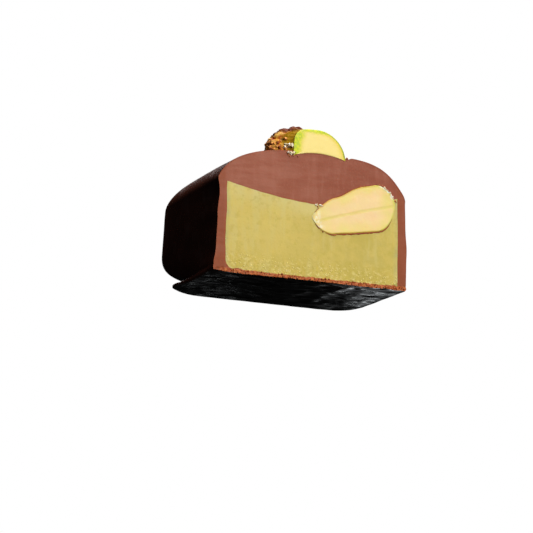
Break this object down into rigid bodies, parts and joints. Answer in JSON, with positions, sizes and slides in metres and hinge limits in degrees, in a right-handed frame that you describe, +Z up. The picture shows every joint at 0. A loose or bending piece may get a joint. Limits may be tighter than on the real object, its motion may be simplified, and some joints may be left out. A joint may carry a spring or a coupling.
{
  "type": "chocolate praline",
  "caption": "Half of a milk chocolate praline, cut to show green pistachio marzipan and a cut pistachio kernel, with another kernel lying on its domed top",
  "frame": {"origin": "middle of the base of the praline's own box, on the surface that it stands on", "axes": "+Z up; the cut face looks to -Y; +X runs to the right along the cut face"},
  "size_m": [0.0352, 0.023, 0.0255],
  "materials": {
    "chocolate": "milk chocolate: a satin gloss outside, dull where the knife went through",
    "marzipan": "fine-grained moist nut paste, pale green-yellow, dull",
    "kernel_flesh": "cut pistachio kernel, cream with a green-yellow rim, satin",
    "kernel_skin": "wrinkled red-brown kernel skin over green flesh, satin"
  },
  "bodies": {
    "root": {"coating": "chocolate", "filling": "marzipan", "kernel_in_filling": "kernel_flesh", "kernel_on_top": "kernel_skin"}
  },
  "joints": []
}
